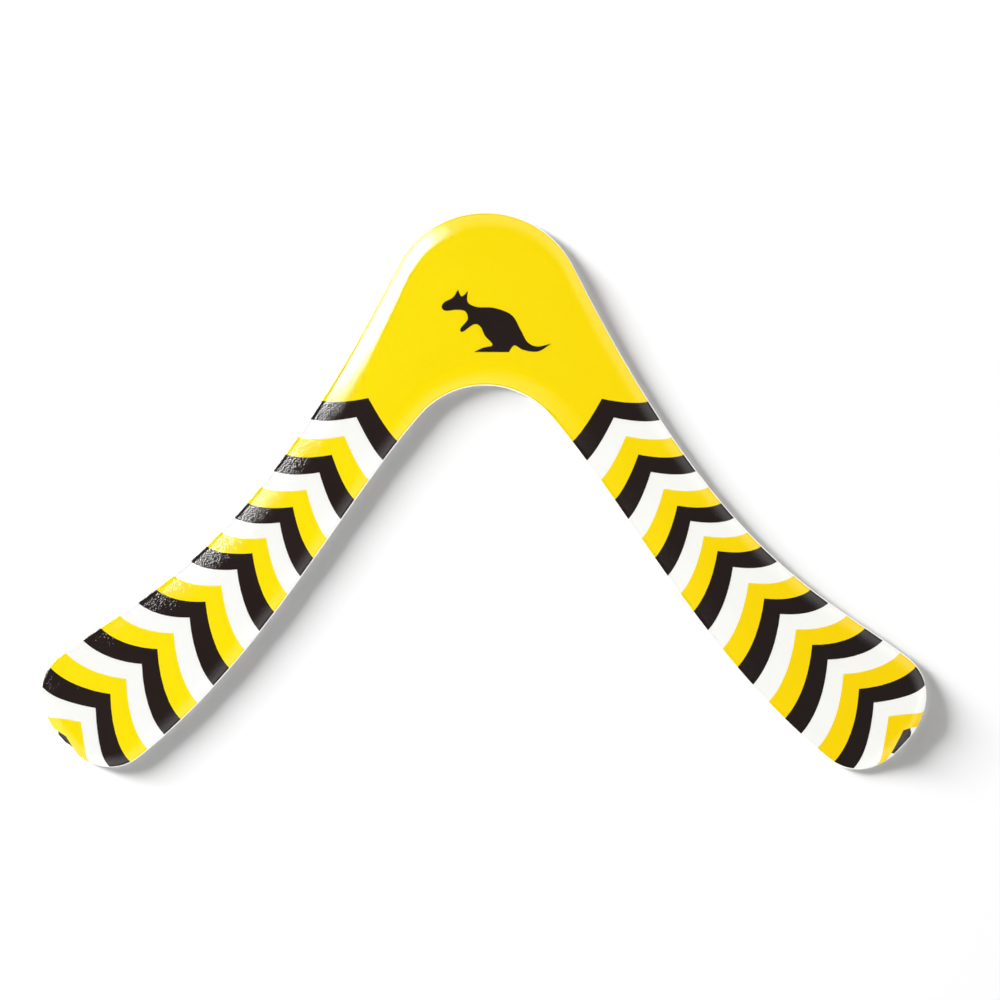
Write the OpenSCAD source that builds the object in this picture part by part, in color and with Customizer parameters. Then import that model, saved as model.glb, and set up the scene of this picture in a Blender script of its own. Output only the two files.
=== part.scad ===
// Two-armed returning boomerang: a five-ply birch blade with a painted and printed upper face.
// Millimetres. The flat underside lies on z = 0 and the painted face looks up (+Z).
// The elbow points to +Y, the arms run down to -Y, and the origin is under the middle of the outline.
// Right-handed: the left arm tapers to its outer edge, the right arm tapers to its inner edge.

/* [Outline] */
// Sideways distance from the middle line to each tip point
tip_x = 170.3; // [140:0.1:206]
// Distance from the elbow's top down to each tip point
tip_y = 211.2; // [175:0.1:256]
// Depth of the elbow on the middle line
elbow_depth = 69.5; // [57:0.5:84]
// Radius of the elbow's outer edge
elbow_r_out = 39.5; // [32:0.5:48]
// Radius of the crook between the arms
elbow_r_in = 34.5; // [28:0.5:42]
// Chord across each tip, from shoulder to shoulder
tip_chord = 51.5; // [42:0.5:62]
// Distance from each tip point back to its shoulders
tip_length = 20; // [16:0.5:24]

/* [Blade section] */
// Width of the long taper beside each trailing edge, where it is full
taper_w = 23; // [19:0.5:27]
// Distance along the ridge, from the middle line, at which the taper is full
taper_full_l = 150; // [125:5:180]
// Width of that taper where it runs out in the elbow
taper_elbow_w = 8.5; // [7:0.5:10.5]
// Width of the blunt rounding beside each leading edge
lead_w = 9; // [7:0.5:11]
// Width of the rounding at each tip point
tip_round_w = 7; // [5:0.5:9]
// Width of the small round-over at every edge
edge_r = 1; // [0.8:0.1:1.2]

/* [Plywood] */
// Thickness of one birch veneer
veneer_t = 1.12; // [0.9:0.01:1.4]
// Thickness of one glue film
film_t = 0.1; // [0.08:0.01:0.12]

/* [Paint] */
// Thickness of the white base coat
base_t = 0.15; // [0.12:0.01:0.18]
// Thickness of one printed colour
print_t = 0.1; // [0.08:0.01:0.12]
// Bare edge that the print leaves
print_gap = 0.5; // [0.3:0.1:0.8]
// Bare edge that the print leaves on the left arm's outer edge
print_gap_left = 0.2; // [0.2:0.1:0.8]

/* [Bands] */
// How far a band's ends trail its corner at the outer edge
sweep_out = 11; // [9:0.1:13.2]
// How far they trail it at the inner edge, beside the tip
sweep_in = 14.5; // [12:0.1:17.4]
// How far they trail it at the inner edge, beside the elbow
sweep_in_root = 8.3; // [7:0.1:10]
// Distance from the last black mark's corner to the tip point
mark_l = 3.3; // [2.7:0.1:4]
// How far the print slides outwards at the right tip and inwards at the left tip
print_skew = 1.4; // [0:0.1:1.7]
// How much earlier the pattern ends on the right arm than on the left arm, halved
print_slip = 1; // [0:0.1:1.2]

/* [Kangaroo] */
// Length of the printed kangaroo, nose to tail
roo_l = 44; // [36:1:53]
// Distance from the elbow's top down to its middle
roo_y = 43.7; // [41:0.1:46]
// Distance of its middle to the right of the middle line
roo_x = 4.5; // [3.8:0.1:5.4]

/* [Hidden] */
veneers = 5;
SIDES = ["left", "right"];
BLACKS = 8;
YELLOWS = 7;
PLY_NODES = [for (i = [1:veneers]) str("ply_", i)];
FILM_NODES = [for (i = [1:veneers - 1]) str("glue_film_", i)];
BLACK_NODES = [for (side = SIDES, i = [1:BLACKS]) str(side, "_black_band_", i)];
YELLOW_NODES = [for (side = SIDES, i = [1:YELLOWS]) str(side, "_yellow_band_", i)];

wood_t = veneers * veneer_t + (veneers - 1) * film_t;
paint_low = 0.15;        // the base coat stops this far above the underside
elbow_turn_out = 63;     // degrees that the outer elbow arc turns before the arm
elbow_turn_in = 49;      // the same for the crook
ridge_turn = 58;         // the same for the ridge
ridge_in = 20.7;         // from the crook up to the ridge, on the middle line
ridge_dir = 43;          // heading of the ridge where it meets the tip
tip_dir = 38;            // heading of the tips, degrees below horizontal
tip_flare = 0.5;         // degrees that each shoulder opens
edge_q_trail = 0.16;     // share of the height gained by the round-over, trailing edge
edge_q_lead = 0.30;      // the same, leading edge
bow_trail = 1.25;        // bow of the taper: 1 is a flat facet
bow_lead = 2;            // bow of the leading edge: 2 is a parabola
taper_most = 0.84;       // the taper takes no more than this share of a half chord
swap_l = 30;             // the sections swap over within this distance of the middle line
set_share = [28, 27, 25.5, 28, 28, 27, 25.5];   // lengths of the band sets, in proportion

// ---- curves -------------------------------------------------------------------------------

function heading(a) = [cos(a), -sin(a)];
function left_of(a) = [sin(a), cos(a)];
function bezier(p, q, r, s, n) = [for (i = [0:n]) let (t = i / n, v = 1 - t)
    v * v * v * p + 3 * v * v * t * q + 3 * v * t * t * r + t * t * t * s];
function arc(c, r, a, n) = [for (i = [0:n]) c + r * left_of(a * i / n)];
function tail(pts) = [for (i = [1:len(pts) - 1]) pts[i]];
function mirrored(pts) = [for (i = [len(pts) - 1:-1:0]) pts[i]];
function clamp01(x) = max(0, min(1, x));
function smooth(x) = let (t = clamp01(x)) t * t * (3 - 2 * t);
function mix(a, b, t) = a + (b - a) * t;

// ---- outline of the right half, with the elbow's top at [0, 0] --------------------------------

tip = [tip_x, -tip_y];
tip_back = tip - tip_length * heading(tip_dir);
shoulder_out = tip_back + tip_chord / 2 * left_of(tip_dir);
shoulder_in = tip_back - tip_chord / 2 * left_of(tip_dir);
shoulder_run = norm(shoulder_out - tip);

elbow_out = arc([0, -elbow_r_out], elbow_r_out, elbow_turn_out, 24);
elbow_in = arc([0, -elbow_depth - elbow_r_in], elbow_r_in, elbow_turn_in, 24);
root_out = elbow_out[24];
root_in = elbow_in[24];
run_out = norm(shoulder_out - root_out);
run_in = norm(shoulder_in - root_in);
soft = 0.35;             // handle lengths of the tip's curves, as shares of their run
full = 0.5;

outer_edge = concat(elbow_out,
    tail(bezier(root_out, root_out + 0.65 * run_out * heading(elbow_turn_out),
        shoulder_out - 0.21 * run_out * heading(tip_dir - tip_flare), shoulder_out, 48)),
    tail(bezier(shoulder_out, shoulder_out + soft * shoulder_run * heading(tip_dir - tip_flare),
        tip + full * shoulder_run * left_of(tip_dir), tip, 24)));
inner_edge = concat(elbow_in,
    tail(bezier(root_in, root_in + 0.27 * run_in * heading(elbow_turn_in),
        shoulder_in - 0.36 * run_in * heading(tip_dir + tip_flare), shoulder_in, 48)),
    tail(bezier(shoulder_in, shoulder_in + soft * shoulder_run * heading(tip_dir + tip_flare),
        tip - full * shoulder_run * left_of(tip_dir), tip, 24)));
edge_loop = concat(outer_edge, tail(mirrored(inner_edge)));
middle_y = min([for (p = edge_loop) p.y]) / 2;

// ---- the ridge: an arc round the crook, then a curve to the tip --------------------------------

ridge_r = elbow_r_in + ridge_in;
ridge_arc = arc([0, -elbow_depth - elbow_r_in], ridge_r, ridge_turn, 24);
ridge_root = ridge_arc[24];
ridge_run = norm(tip - ridge_root);
ridge_pts = concat(ridge_arc,
    tail(bezier(ridge_root, ridge_root + 0.27 * ridge_run * heading(ridge_turn),
        tip - 0.63 * ridge_run * heading(ridge_dir), tip, 64)));
ridge_steps = [for (i = [1:len(ridge_pts) - 1]) norm(ridge_pts[i] - ridge_pts[i - 1])];
ridge_s = [for (i = 0, s = 0; i < len(ridge_pts); s = s + (i < len(ridge_steps) ? ridge_steps[i] : 0),
    i = i + 1) s];
arm_l = ridge_s[len(ridge_s) - 1];
elbow_l = ridge_r * ridge_turn * PI / 180;

// Each station has a distance s along the ridge, a point, a heading and two half chords.
tip_zone = 24;
stations = concat([for (i = [0:47]) (arm_l - tip_zone) * i / 48],
    [for (i = [0:24]) arm_l - tip_zone * (1 - sin(90 * i / 24))]);
ridge_x = [for (i = [0:len(ridge_s) - 1]) [ridge_s[i], ridge_pts[i].x]];
ridge_y = [for (i = [0:len(ridge_s) - 1]) [ridge_s[i], ridge_pts[i].y]];
turn_of = [for (i = [0:len(ridge_s) - 1]) let (a = max(0, i - 1), b = min(len(ridge_s) - 1, i + 1),
    v = ridge_pts[b] - ridge_pts[a])
    [ridge_s[i], i == 0 ? 0 : i == len(ridge_s) - 1 ? ridge_dir : atan2(-v.y, v.x)]];
function ridge_at(s) = [lookup(s, ridge_x), lookup(s, ridge_y)];
function turn_at(s) = lookup(s, turn_of);
function reach(s, side) = let (c = ridge_at(s), a = turn_at(s),
    g = [for (p = edge_loop) (p - c) * heading(a)])
    min([for (i = [0:len(g) - 2]) if ((g[i] <= 0) != (g[i + 1] <= 0))
        let (p = mix(edge_loop[i], edge_loop[i + 1], g[i] / (g[i] - g[i + 1])),
            q = side * ((p - c) * left_of(a))) if (q > 0) q]);
half_out = [for (s = stations) [s, s == arm_l ? 0 : reach(s, 1)]];
half_in = [for (s = stations) [s, s == arm_l ? 0 : reach(s, -1)]];
function out_at(s) = lookup(abs(s), half_out);
function in_at(s) = lookup(abs(s), half_in);
function chord_at(s) = out_at(s) + in_at(s);

// ---- blade section: height of the wood at distance d from the outer edge, s < 0 on the left arm --

function leading(s) = smooth((s + swap_l) / (2 * swap_l));
function taper_at(s) = min(max(2 * edge_r, taper_most * min(out_at(s), in_at(s))),
    mix(taper_elbow_w, taper_w, smooth((abs(s) - elbow_l / 2) / (taper_full_l - elbow_l / 2))));
function width_at(s, lead) = mix(taper_at(s), lead_w, lead);
function rise(d, w, lead) = let (q = mix(edge_q_trail, edge_q_lead, lead), m = mix(bow_trail, bow_lead, lead))
    d <= 0 ? 0 : d < edge_r ? q * sqrt(1 - pow(1 - d / edge_r, 2))
    : q + (1 - q) * (1 - pow(1 - clamp01((d - edge_r) / (w - edge_r)), m));
function share(s, d) = let (a = leading(s), w = chord_at(s))
    rise(d, width_at(s, a), a) * rise(w - d, width_at(s, 1 - a), 1 - a)
    * rise(arm_l - abs(s), tip_round_w, 1);
function height(s, d) = veneer_t + (wood_t - veneer_t) * share(s, d);
function crest(s) = let (a = leading(s), p = width_at(s, a), q = width_at(s, 1 - a))
    chord_at(s) * p / (p + q);
function place(s, d) = let (a = turn_at(abs(s)), p = ridge_at(abs(s)) + (out_at(s) - d) * left_of(a))
    [sign(s) * p.x, p.y - middle_y, height(s, d)];

// ---- level rings: closed loops of the wood's surface at one height -------------------------------

HALVINGS = 14;
function find_d(s, z, low, high, n = HALVINGS) = n == 0 ? (low + high) / 2 : let (m = (low + high) / 2)
    height(s, m) < z ? find_d(s, z, m, high, n - 1) : find_d(s, z, low, m, n - 1);
function find_end(side, z, low, high, n = HALVINGS) = n == 0 ? low : let (m = (low + high) / 2)
    height(side * m, crest(side * m)) < z ? find_end(side, z, low, m, n - 1)
    : find_end(side, z, m, high, n - 1);

elbow_bays = 15;         // close bays round the elbow, wider ones along the arm, closer at the tip
arm_bays = 20;
tip_bays = 9;
tip_bend = 22;
straight_l = arm_l - tip_bend - elbow_l;
spread = concat([for (i = [0:elbow_bays - 1]) elbow_l * i / elbow_bays],
    [for (i = [0:arm_bays - 1]) elbow_l + straight_l * i / arm_bays],
    [for (i = [0:tip_bays]) arm_l - tip_bend * (1 - sin(90 * i / tip_bays))]) / arm_l;
fractions = concat([for (i = [len(spread) - 1:-1:1]) -spread[i]], spread);
LAST = len(fractions) - 1;

function ring_point(s, z, inner) = let (flat = z <= veneer_t, top = min(z, wood_t - 0.004),
    d = inner ? (flat ? chord_at(s) : find_d(s, top, chord_at(s), crest(s)))
        : (flat ? 0 : find_d(s, top, 0, crest(s))),
    p = place(s, d)) [p.x, p.y, z];
function ring(z) = let (flat = z <= veneer_t, top = min(z, wood_t - 0.004),
    ends = [for (side = [-1, 1]) flat ? arm_l : find_end(side, top, 0, arm_l)],
    s = [for (f = fractions) f * (f < 0 ? ends[0] : ends[1])])
    concat([for (i = [0:LAST]) ring_point(s[i], z, false)],
        [for (i = [LAST - 1:-1:1]) ring_point(s[i], z, true)]);

RING = 2 * LAST;
// Faces between ring i and ring i + 1; turned is true where they look inwards.
function wall_faces(i, turned = false) = [for (j = [0:RING - 1], half = [0, 1])
    let (k = (j + 1) % RING, a = i * RING + j, b = i * RING + k, c = a + RING, d = b + RING,
        f = half == 0 ? [a, b, d] : [a, d, c]) turned ? mirrored(f) : f];
// A flat cap across ring i, in strips from the outer edge to the inner edge.
function cap_faces(i, turned = false) = let (o = i * RING) [for (j = [0:LAST - 1], half = [0, 1])
    let (p = o + j, q = o + j + 1, r = o + (RING - j) % RING, t = o + RING - j - 1,
        f = half == 0 ? [p, q, t] : [p, t, r]) if (f[0] != f[1] && f[1] != f[2] && f[0] != f[2])
        turned ? mirrored(f) : f];
module stack(levels) {
    n = len(levels) - 1;
    polyhedron([for (z = levels) each ring(z)],
        concat(cap_faces(0, true), [for (i = [0:n - 1]) each wall_faces(i)], cap_faces(n)));
}

function veneer_low(i) = (i - 1) * (veneer_t + film_t);
function veneer_levels(i) = let (a = veneer_low(i))
    i < veneers ? [a, a + veneer_t / 2, a + veneer_t]
    : [a, a + veneer_t * 0.45, a + veneer_t * 0.75, a + veneer_t * 0.93, a + veneer_t];

// ---- pieces ----------------------------------------------------------------------------------

// The bottom veneer keeps the full outline and a square edge.
module bottom_ply() {
    color("burlywood") linear_extrude(veneer_t) polygon([for (p = ring(0)) [p.x, p.y]]);
}

module ply(i) {
    color(i % 2 == 0 ? "tan" : "burlywood") stack(veneer_levels(i));
}

module glue_film(i) {
    a = veneer_low(i) + veneer_t;
    color("saddlebrown") stack([a, a + film_t]);
}

// ---- white base coat: an even skin over the face and the edges -------------------------------------

function unit(v) = v / norm(v);
function skin_normal(rings, k, j) = k == len(rings) - 1 ? [0, 0, 1]
    : unit(cross(rings[k + 1][j] - rings[k][j], rings[k][(j + 1) % RING] - rings[k][(j + RING - 1) % RING]));

module base_coat() {
    levels = concat([paint_low, veneer_t, veneer_t + film_t, 1.6 * veneer_t],
        [for (i = [2:veneers - 1]) veneer_low(i) + veneer_t],
        [for (z = [0.45, 0.75, 0.93, 1]) veneer_low(veneers) + veneer_t * z]);
    rings = [for (z = levels) ring(z)];
    n = len(levels) - 1;
    grown = [for (k = [0:n]) [for (j = [0:RING - 1]) let (v = skin_normal(rings, k, j))
        rings[k][j] + base_t * (k == 0 ? unit([v.x, v.y, 0]) : v)]];
    rim = [for (j = [0:RING - 1], half = [0, 1]) let (k = (j + 1) % RING, g = (n + 1) * RING)
        half == 0 ? [j, k, g + k] : [j, g + k, g + j]];
    color("white") polyhedron([for (r = concat(rings, grown)) each r],
        concat([for (i = [0:n - 1]) each wall_faces(i, true)], cap_faces(n, true), rim,
            [for (i = [n + 1:2 * n]) each wall_faces(i)], cap_faces(2 * n + 1)));
}

// ---- printed colours: thin sheets that follow the coated face --------------------------------------
// A sheet is a grid of [s, d]. Its columns run from the outer edge (-COLS) over the corner line (0) to
// the inner edge (COLS), and they divide the round-over and the taper or rounding beside each edge.
// The corner line is the ridge, off which the print slides a little towards the tips.

COLS = 8;
taper_shares = [0.22, 0.4, 0.6, 0.8, 1];
function slide_at(s) = print_skew * sign(s) * clamp01((abs(s) - elbow_l) / (arm_l - elbow_l))
    * min(1, out_at(s) / (4 * print_skew + 1));
function half_at(s, c) = c <= 0 ? out_at(s) - slide_at(s) : in_at(s) + slide_at(s);
function gap_at(s, c) = c > 0 ? print_gap : mix(print_gap_left, print_gap, smooth((s + swap_l) / swap_l));
function edge_dist(s, c) = let (i = COLS - abs(c), h = half_at(s, c), a = leading(s))
    i == COLS ? h : i == 0 ? min(gap_at(s, c), 0.06 * h) : i == 1 ? min(edge_r, 0.12 * h)
    : let (w = min(width_at(s, c < 0 ? a : 1 - a), 0.9 * h))
        i == COLS - 1 ? mix(w, h, 0.5) : taper_shares[i - 2] * w;
function across(s, c) = 1 - edge_dist(s, c) / half_at(s, c);
function chord_d(s, c) = c <= 0 ? edge_dist(s, c) : chord_at(s) - edge_dist(s, c);

// Each set of bands is black, white and yellow in equal thirds, and a last black mark ends the arm.
first_band = elbow_l;
last_band = arm_l - mark_l;
SETS = len(set_share);
set_sum = [for (i = 0, t = 0; i <= SETS; t = t + (i < SETS ? set_share[i] : 0), i = i + 1) t];
function band_share(b) = let (i = floor(b / 3), j = (b % 3) / 3)
    (i >= SETS ? set_sum[SETS] : mix(set_sum[i], set_sum[i + 1], j)) / set_sum[SETS];
// A band's edge starts at its corner and trails towards the tip on both sides, in two bowed lines.
function trail(b, side, c, t) = let (along = band_share(b), a = c < 0 ? sweep_out
    : mix(sweep_in_root, sweep_in, along), s0 = mix(first_band, last_band, along) - side * print_slip * along,
    most = min(a * (1 - exp(1.5 * (s0 - arm_l) / a)), 0.85 * (arm_l - print_gap - s0)))
    s0 + most * (1 - pow(1 - t, mix(1.35, 1.95, along)));
// Where that edge crosses a column of the sheet, closed in on by steps.
function cross_s(b, side, c, s, n = 8) = n == 0 ? s
    : cross_s(b, side, c, (s + trail(b, side, c, across(side * s, c))) / 2, n - 1);
function band_s(b, side, c) = side * cross_s(b, side, c, trail(b, side, c, 0));

function face_point(s, d, h) = let (e = 0.05, a = place(s - e, d), b = place(s + e, d),
    p = place(s, d - e), q = place(s, d + e)) place(s, d) + h * unit(cross(q - p, b - a));
module sheet(grid) {
    rows = len(grid);
    cols = len(grid[0]);
    n = rows * cols;
    edge = concat([for (c = [0:cols - 1]) c], [for (r = [1:rows - 1]) r * cols + cols - 1],
        [for (c = [cols - 2:-1:0]) (rows - 1) * cols + c], [for (r = [rows - 2:-1:1]) r * cols]);
    m = len(edge);
    polyhedron([for (h = [base_t, base_t + print_t], row = grid, p = row) face_point(p[0], p[1], h)],
        concat([for (top = [0, 1], r = [0:rows - 2], c = [0:cols - 2], half = [0, 1])
            let (p = top * n + r * cols + c, q = p + cols,
                f = half == 0 ? [p, q, q + 1] : [p, q + 1, p + 1]) top == 1 ? f : mirrored(f)],
            [for (i = [0:m - 1], half = [0, 1]) let (p = edge[i], q = edge[(i + 1) % m])
                half == 0 ? [p, n + q, q] : [p, n + p, n + q]]));
}

// The sheet between band edge b and the next one, or the end of the arm, on one arm.
ROWS = 2;
module band(b, side, cols, last = false) {
    rows = [for (r = [0:ROWS]) [for (c = [-cols:cols]) let (p = band_s(b, side, c),
        q = last ? side * (arm_l - print_gap) : band_s(b + 1, side, c), s = mix(p, q, r / ROWS))
        [s, chord_d(s, c)]]];
    sheet(side > 0 ? rows : mirrored(rows));
}
module black_band(i, side) {
    color([0.17, 0.14, 0.13]) if (i < BLACKS) band(3 * (i - 1), side, COLS);
    else band(3 * SETS, side, 3, true);
}
module yellow_band(i, side) {
    color([0.99, 0.86, 0.04]) band(3 * i - 1, side, COLS);
}

ELBOW_ROWS = 12;
module elbow_yellow() {
    color([0.99, 0.86, 0.04]) sheet([for (r = [-ELBOW_ROWS:ELBOW_ROWS]) [for (c = [-COLS:COLS])
        let (side = r < 0 ? -1 : 1, s = abs(r) / ELBOW_ROWS * band_s(0, side, c)) [s, chord_d(s, c)]]]);
}

// ---- kangaroo: a sitting animal, printed flat and black inside a smooth closed curve -----------------

roo_z = wood_t + base_t + print_t;
// Round the animal from its nose, in millimetres at a length of 44. A point given twice is a sharp one.
roo_points = [[-22, 5.4], [-21, 7.4], [-17.5, 9.4], [-15.5, 12.5], [-15.5, 12.5], [-14, 9.8],
    [-11.5, 12], [-11.5, 12], [-11.6, 7.6], [-8, 5.6], [-1, 5.2], [6, 2.4], [9.6, -3.4], [12.4, -8.4],
    [16.4, -10.2], [22, -9], [22, -9], [16.6, -12.2], [10.8, -11.6], [7.2, -9.8], [5, -12.5], [5, -12.5],
    [-9, -12.5], [-9, -12.5], [-5.4, -10.8], [-1.6, -9.6], [-4.6, -6], [-6.4, -2.4], [-9, -1.4],
    [-13.6, -4.4], [-14.4, -3], [-11.6, 0.6], [-12.6, 3.8], [-16, 4.4], [-20.4, 4]];
function spline(pts, n) = let (m = len(pts)) [for (i = [0:m - 1])
    let (p = pts[(i + m - 1) % m], q = pts[i], r = pts[(i + 1) % m], s = pts[(i + 2) % m])
    if (q != r) each [for (k = [0:n - 1]) let (t = k / n)
        q + t / 2 * (r - p) + t * t / 2 * (2 * p - 5 * q + 4 * r - s)
        + t * t * t / 2 * (3 * q - p - 3 * r + s)]];
module kangaroo_print() {
    color([0.17, 0.14, 0.13]) translate([roo_x, -roo_y - middle_y, roo_z]) linear_extrude(print_t)
        polygon(roo_l / 44 * spline(roo_points, 4));
}

bottom_ply();  // ply_1
for (i = [2:veneers]) ply(i);
for (i = [1:veneers - 1]) glue_film(i);
base_coat();
elbow_yellow();
kangaroo_print();
for (k = [0, 1], i = [1:BLACKS]) black_band(i, 2 * k - 1);
for (k = [0, 1], i = [1:YELLOWS]) yellow_band(i, 2 * k - 1);
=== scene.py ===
"""Looks of a two-armed returning boomerang: printed and lacquered birch plywood on a pale floor.

Sizes are in millimetres and follow the part's own design; meshes are written in metres. The underside lies
on z = 0, the elbow points to +Y and the arms run down to -Y. A station s is a signed distance along the
ridge from the middle of the elbow, negative on the left arm, and d is a distance from the outer edge.
"""

import logging
import math
from dataclasses import dataclass, field
from enum import Enum
from typing import Dict, Optional, Sequence, Tuple

import bpy
import numpy as np
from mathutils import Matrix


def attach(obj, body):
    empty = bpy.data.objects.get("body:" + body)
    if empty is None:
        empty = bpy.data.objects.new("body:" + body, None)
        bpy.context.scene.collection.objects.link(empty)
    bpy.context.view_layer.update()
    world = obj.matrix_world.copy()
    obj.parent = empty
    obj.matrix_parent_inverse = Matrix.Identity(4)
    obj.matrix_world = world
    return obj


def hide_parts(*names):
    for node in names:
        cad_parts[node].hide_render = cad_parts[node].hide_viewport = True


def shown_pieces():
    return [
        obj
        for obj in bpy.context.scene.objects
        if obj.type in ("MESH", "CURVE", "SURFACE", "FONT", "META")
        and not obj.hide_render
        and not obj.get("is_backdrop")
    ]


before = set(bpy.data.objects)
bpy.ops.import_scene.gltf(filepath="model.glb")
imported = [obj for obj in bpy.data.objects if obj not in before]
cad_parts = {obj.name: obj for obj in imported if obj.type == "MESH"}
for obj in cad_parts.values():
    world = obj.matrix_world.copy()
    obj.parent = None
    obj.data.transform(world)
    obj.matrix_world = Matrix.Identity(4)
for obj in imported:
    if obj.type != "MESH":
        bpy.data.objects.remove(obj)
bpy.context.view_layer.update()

MM = 0.001
BODY = "root"
log = logging.getLogger("boomerang")


class Side(Enum):
    """An arm, and the sign of its stations."""

    LEFT = -1
    RIGHT = 1


class Slot(Enum):
    """The record's material slots."""

    BIRCH = "birch"
    GLUE = "phenolic_glue"
    WHITE = "white_paint"
    YELLOW = "yellow_paint"
    BLACK = "black_paint"


# ---- small maths ------------------------------------------------------------------------------------


def mix(a: np.ndarray, b: np.ndarray, t: np.ndarray) -> np.ndarray:
    """A straight blend: a plus t times the difference."""
    return a + (b - a) * t


def smooth(x: np.ndarray) -> np.ndarray:
    """A soft step from 0 to 1: three t squared less two t cubed, with t held between 0 and 1."""
    t = np.clip(x, 0.0, 1.0)
    return t * t * (3.0 - 2.0 * t)


def heading(angle: np.ndarray) -> np.ndarray:
    """The unit vector that points angle degrees below +X."""
    a = np.radians(angle)
    return np.stack([np.cos(a), -np.sin(a)], axis=-1)


def left_of(angle: np.ndarray) -> np.ndarray:
    """The unit vector a quarter turn to the left of that heading."""
    a = np.radians(angle)
    return np.stack([np.sin(a), np.cos(a)], axis=-1)


def arc(centre: Sequence[float], radius: float, turn: float, steps: int) -> np.ndarray:
    """An arc from straight above its centre: the centre plus the radius times the left of each angle."""
    return np.asarray(centre) + radius * left_of(np.linspace(0.0, turn, steps + 1))


def bezier(p: np.ndarray, q: np.ndarray, r: np.ndarray, s: np.ndarray, steps: int) -> np.ndarray:
    """A cubic curve: its four points weighted by the cubes and products of t and 1 - t.

    Args:
        p: The first point.
        q: The point that the curve sets out towards.
        r: The point that it arrives from.
        s: The last point.
        steps: How many steps to take.

    Returns:
        The curve's points, one to a row.
    """
    t = np.linspace(0.0, 1.0, steps + 1)[:, None]
    v = 1.0 - t
    return v**3 * p + 3 * v * v * t * q + 3 * v * t * t * r + t**3 * s


def unit(v: np.ndarray) -> np.ndarray:
    """Vectors divided by their own lengths."""
    return v / np.maximum(np.linalg.norm(v, axis=-1, keepdims=True), 1e-12)


# ---- meshes -----------------------------------------------------------------------------------------


def grid_faces(rows: int, cols: int, start: int = 0) -> np.ndarray:
    """Triangles of a grid of points stored row by row, facing up where rows go along and columns inwards.

    Each cell with corners a and a + 1 on one row and b and b + 1 on the next gives a, a + 1, b + 1 and
    a, b + 1, b.

    Args:
        rows: How many rows of points.
        cols: How many points in a row.
        start: Index of the grid's first point.

    Returns:
        An array of vertex indices, three to a row.
    """
    a = (np.arange(rows - 1)[:, None] * cols + np.arange(cols - 1)).ravel() + start
    b = a + cols
    return np.concatenate([np.stack([a, a + 1, b + 1], 1), np.stack([a, b + 1, b], 1)])


def strip_faces(upper: np.ndarray, lower: np.ndarray) -> np.ndarray:
    """Triangles between two closed loops of equal length, point for point."""
    u, v = np.roll(upper, -1), np.roll(lower, -1)
    return np.concatenate([np.stack([upper, lower, v], 1), np.stack([upper, v, u], 1)])


def border(rows: int, cols: int) -> np.ndarray:
    """Indices once round the edge of a grid of points."""
    i = np.arange(rows * cols).reshape(rows, cols)
    return np.concatenate([i[0, :-1], i[:-1, -1], i[-1, :0:-1], i[:0:-1, 0]])


def weld(points: np.ndarray, faces: np.ndarray) -> Tuple[np.ndarray, np.ndarray]:
    """Joins points that share a place and drops the triangles that this closes up.

    Args:
        points: Points in millimetres.
        faces: Triangles as vertex indices.

    Returns:
        The points that are left, and their triangles.
    """
    _, first, back = np.unique(np.round(points, 5), axis=0, return_index=True, return_inverse=True)
    faces = back.reshape(-1)[faces]
    a, b, c = faces.T
    return points[first], faces[(a != b) & (b != c) & (c != a)]


def point_normals(points: np.ndarray, faces: np.ndarray) -> np.ndarray:
    """A unit normal at each point: the sum of the area vectors of the triangles round it.

    Args:
        points: Points in millimetres.
        faces: Triangles as vertex indices, facing outwards.

    Returns:
        One unit vector to a point.
    """
    a, b, c = (points[faces[:, k]] for k in range(3))
    areas = np.cross(b - a, c - a)
    total = np.zeros_like(points)
    for k in range(3):
        np.add.at(total, faces[:, k], areas)
    return unit(total)


def make_piece(name: str, points: np.ndarray, faces: Sequence[Sequence[int]], finish: bpy.types.Material,
               slot: Slot, nodes: Sequence[str], crease: float = 35.0) -> bpy.types.Object:
    """Makes one mesh piece that rides on the body and stands for CAD nodes.

    Args:
        name: The piece's name.
        points: Its points in millimetres.
        faces: Its faces, facing outwards.
        finish: Its material.
        slot: Not used; meant as the record's slot for the material.
        nodes: The CAD nodes that it replaces.
        crease: Edges that turn more than this many degrees are shaded sharp.

    Returns:
        The new object, at the origin.
    """
    mesh = bpy.data.meshes.new(name)
    faces = faces.tolist() if isinstance(faces, np.ndarray) else faces
    mesh.from_pydata(np.zeros((len(points), 3)).tolist(), [], faces)
    mesh.vertices.foreach_set("co", (np.asarray(points) * MM).astype(np.float32).ravel())
    mesh.polygons.foreach_set("use_smooth", np.ones(len(mesh.polygons), bool))
    mesh.update()
    mesh.set_sharp_from_angle(angle=math.radians(crease))
    mesh.materials.append(finish)
    piece = bpy.data.objects.new(name, mesh)
    bpy.context.scene.collection.objects.link(piece)
    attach(piece, BODY)
    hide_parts(*nodes)
    log.info("%s: %d points, %d faces, for %s", name, len(points), len(faces), ", ".join(nodes))
    return piece


# ---- shape of the blade -------------------------------------------------------------------------------


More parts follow.
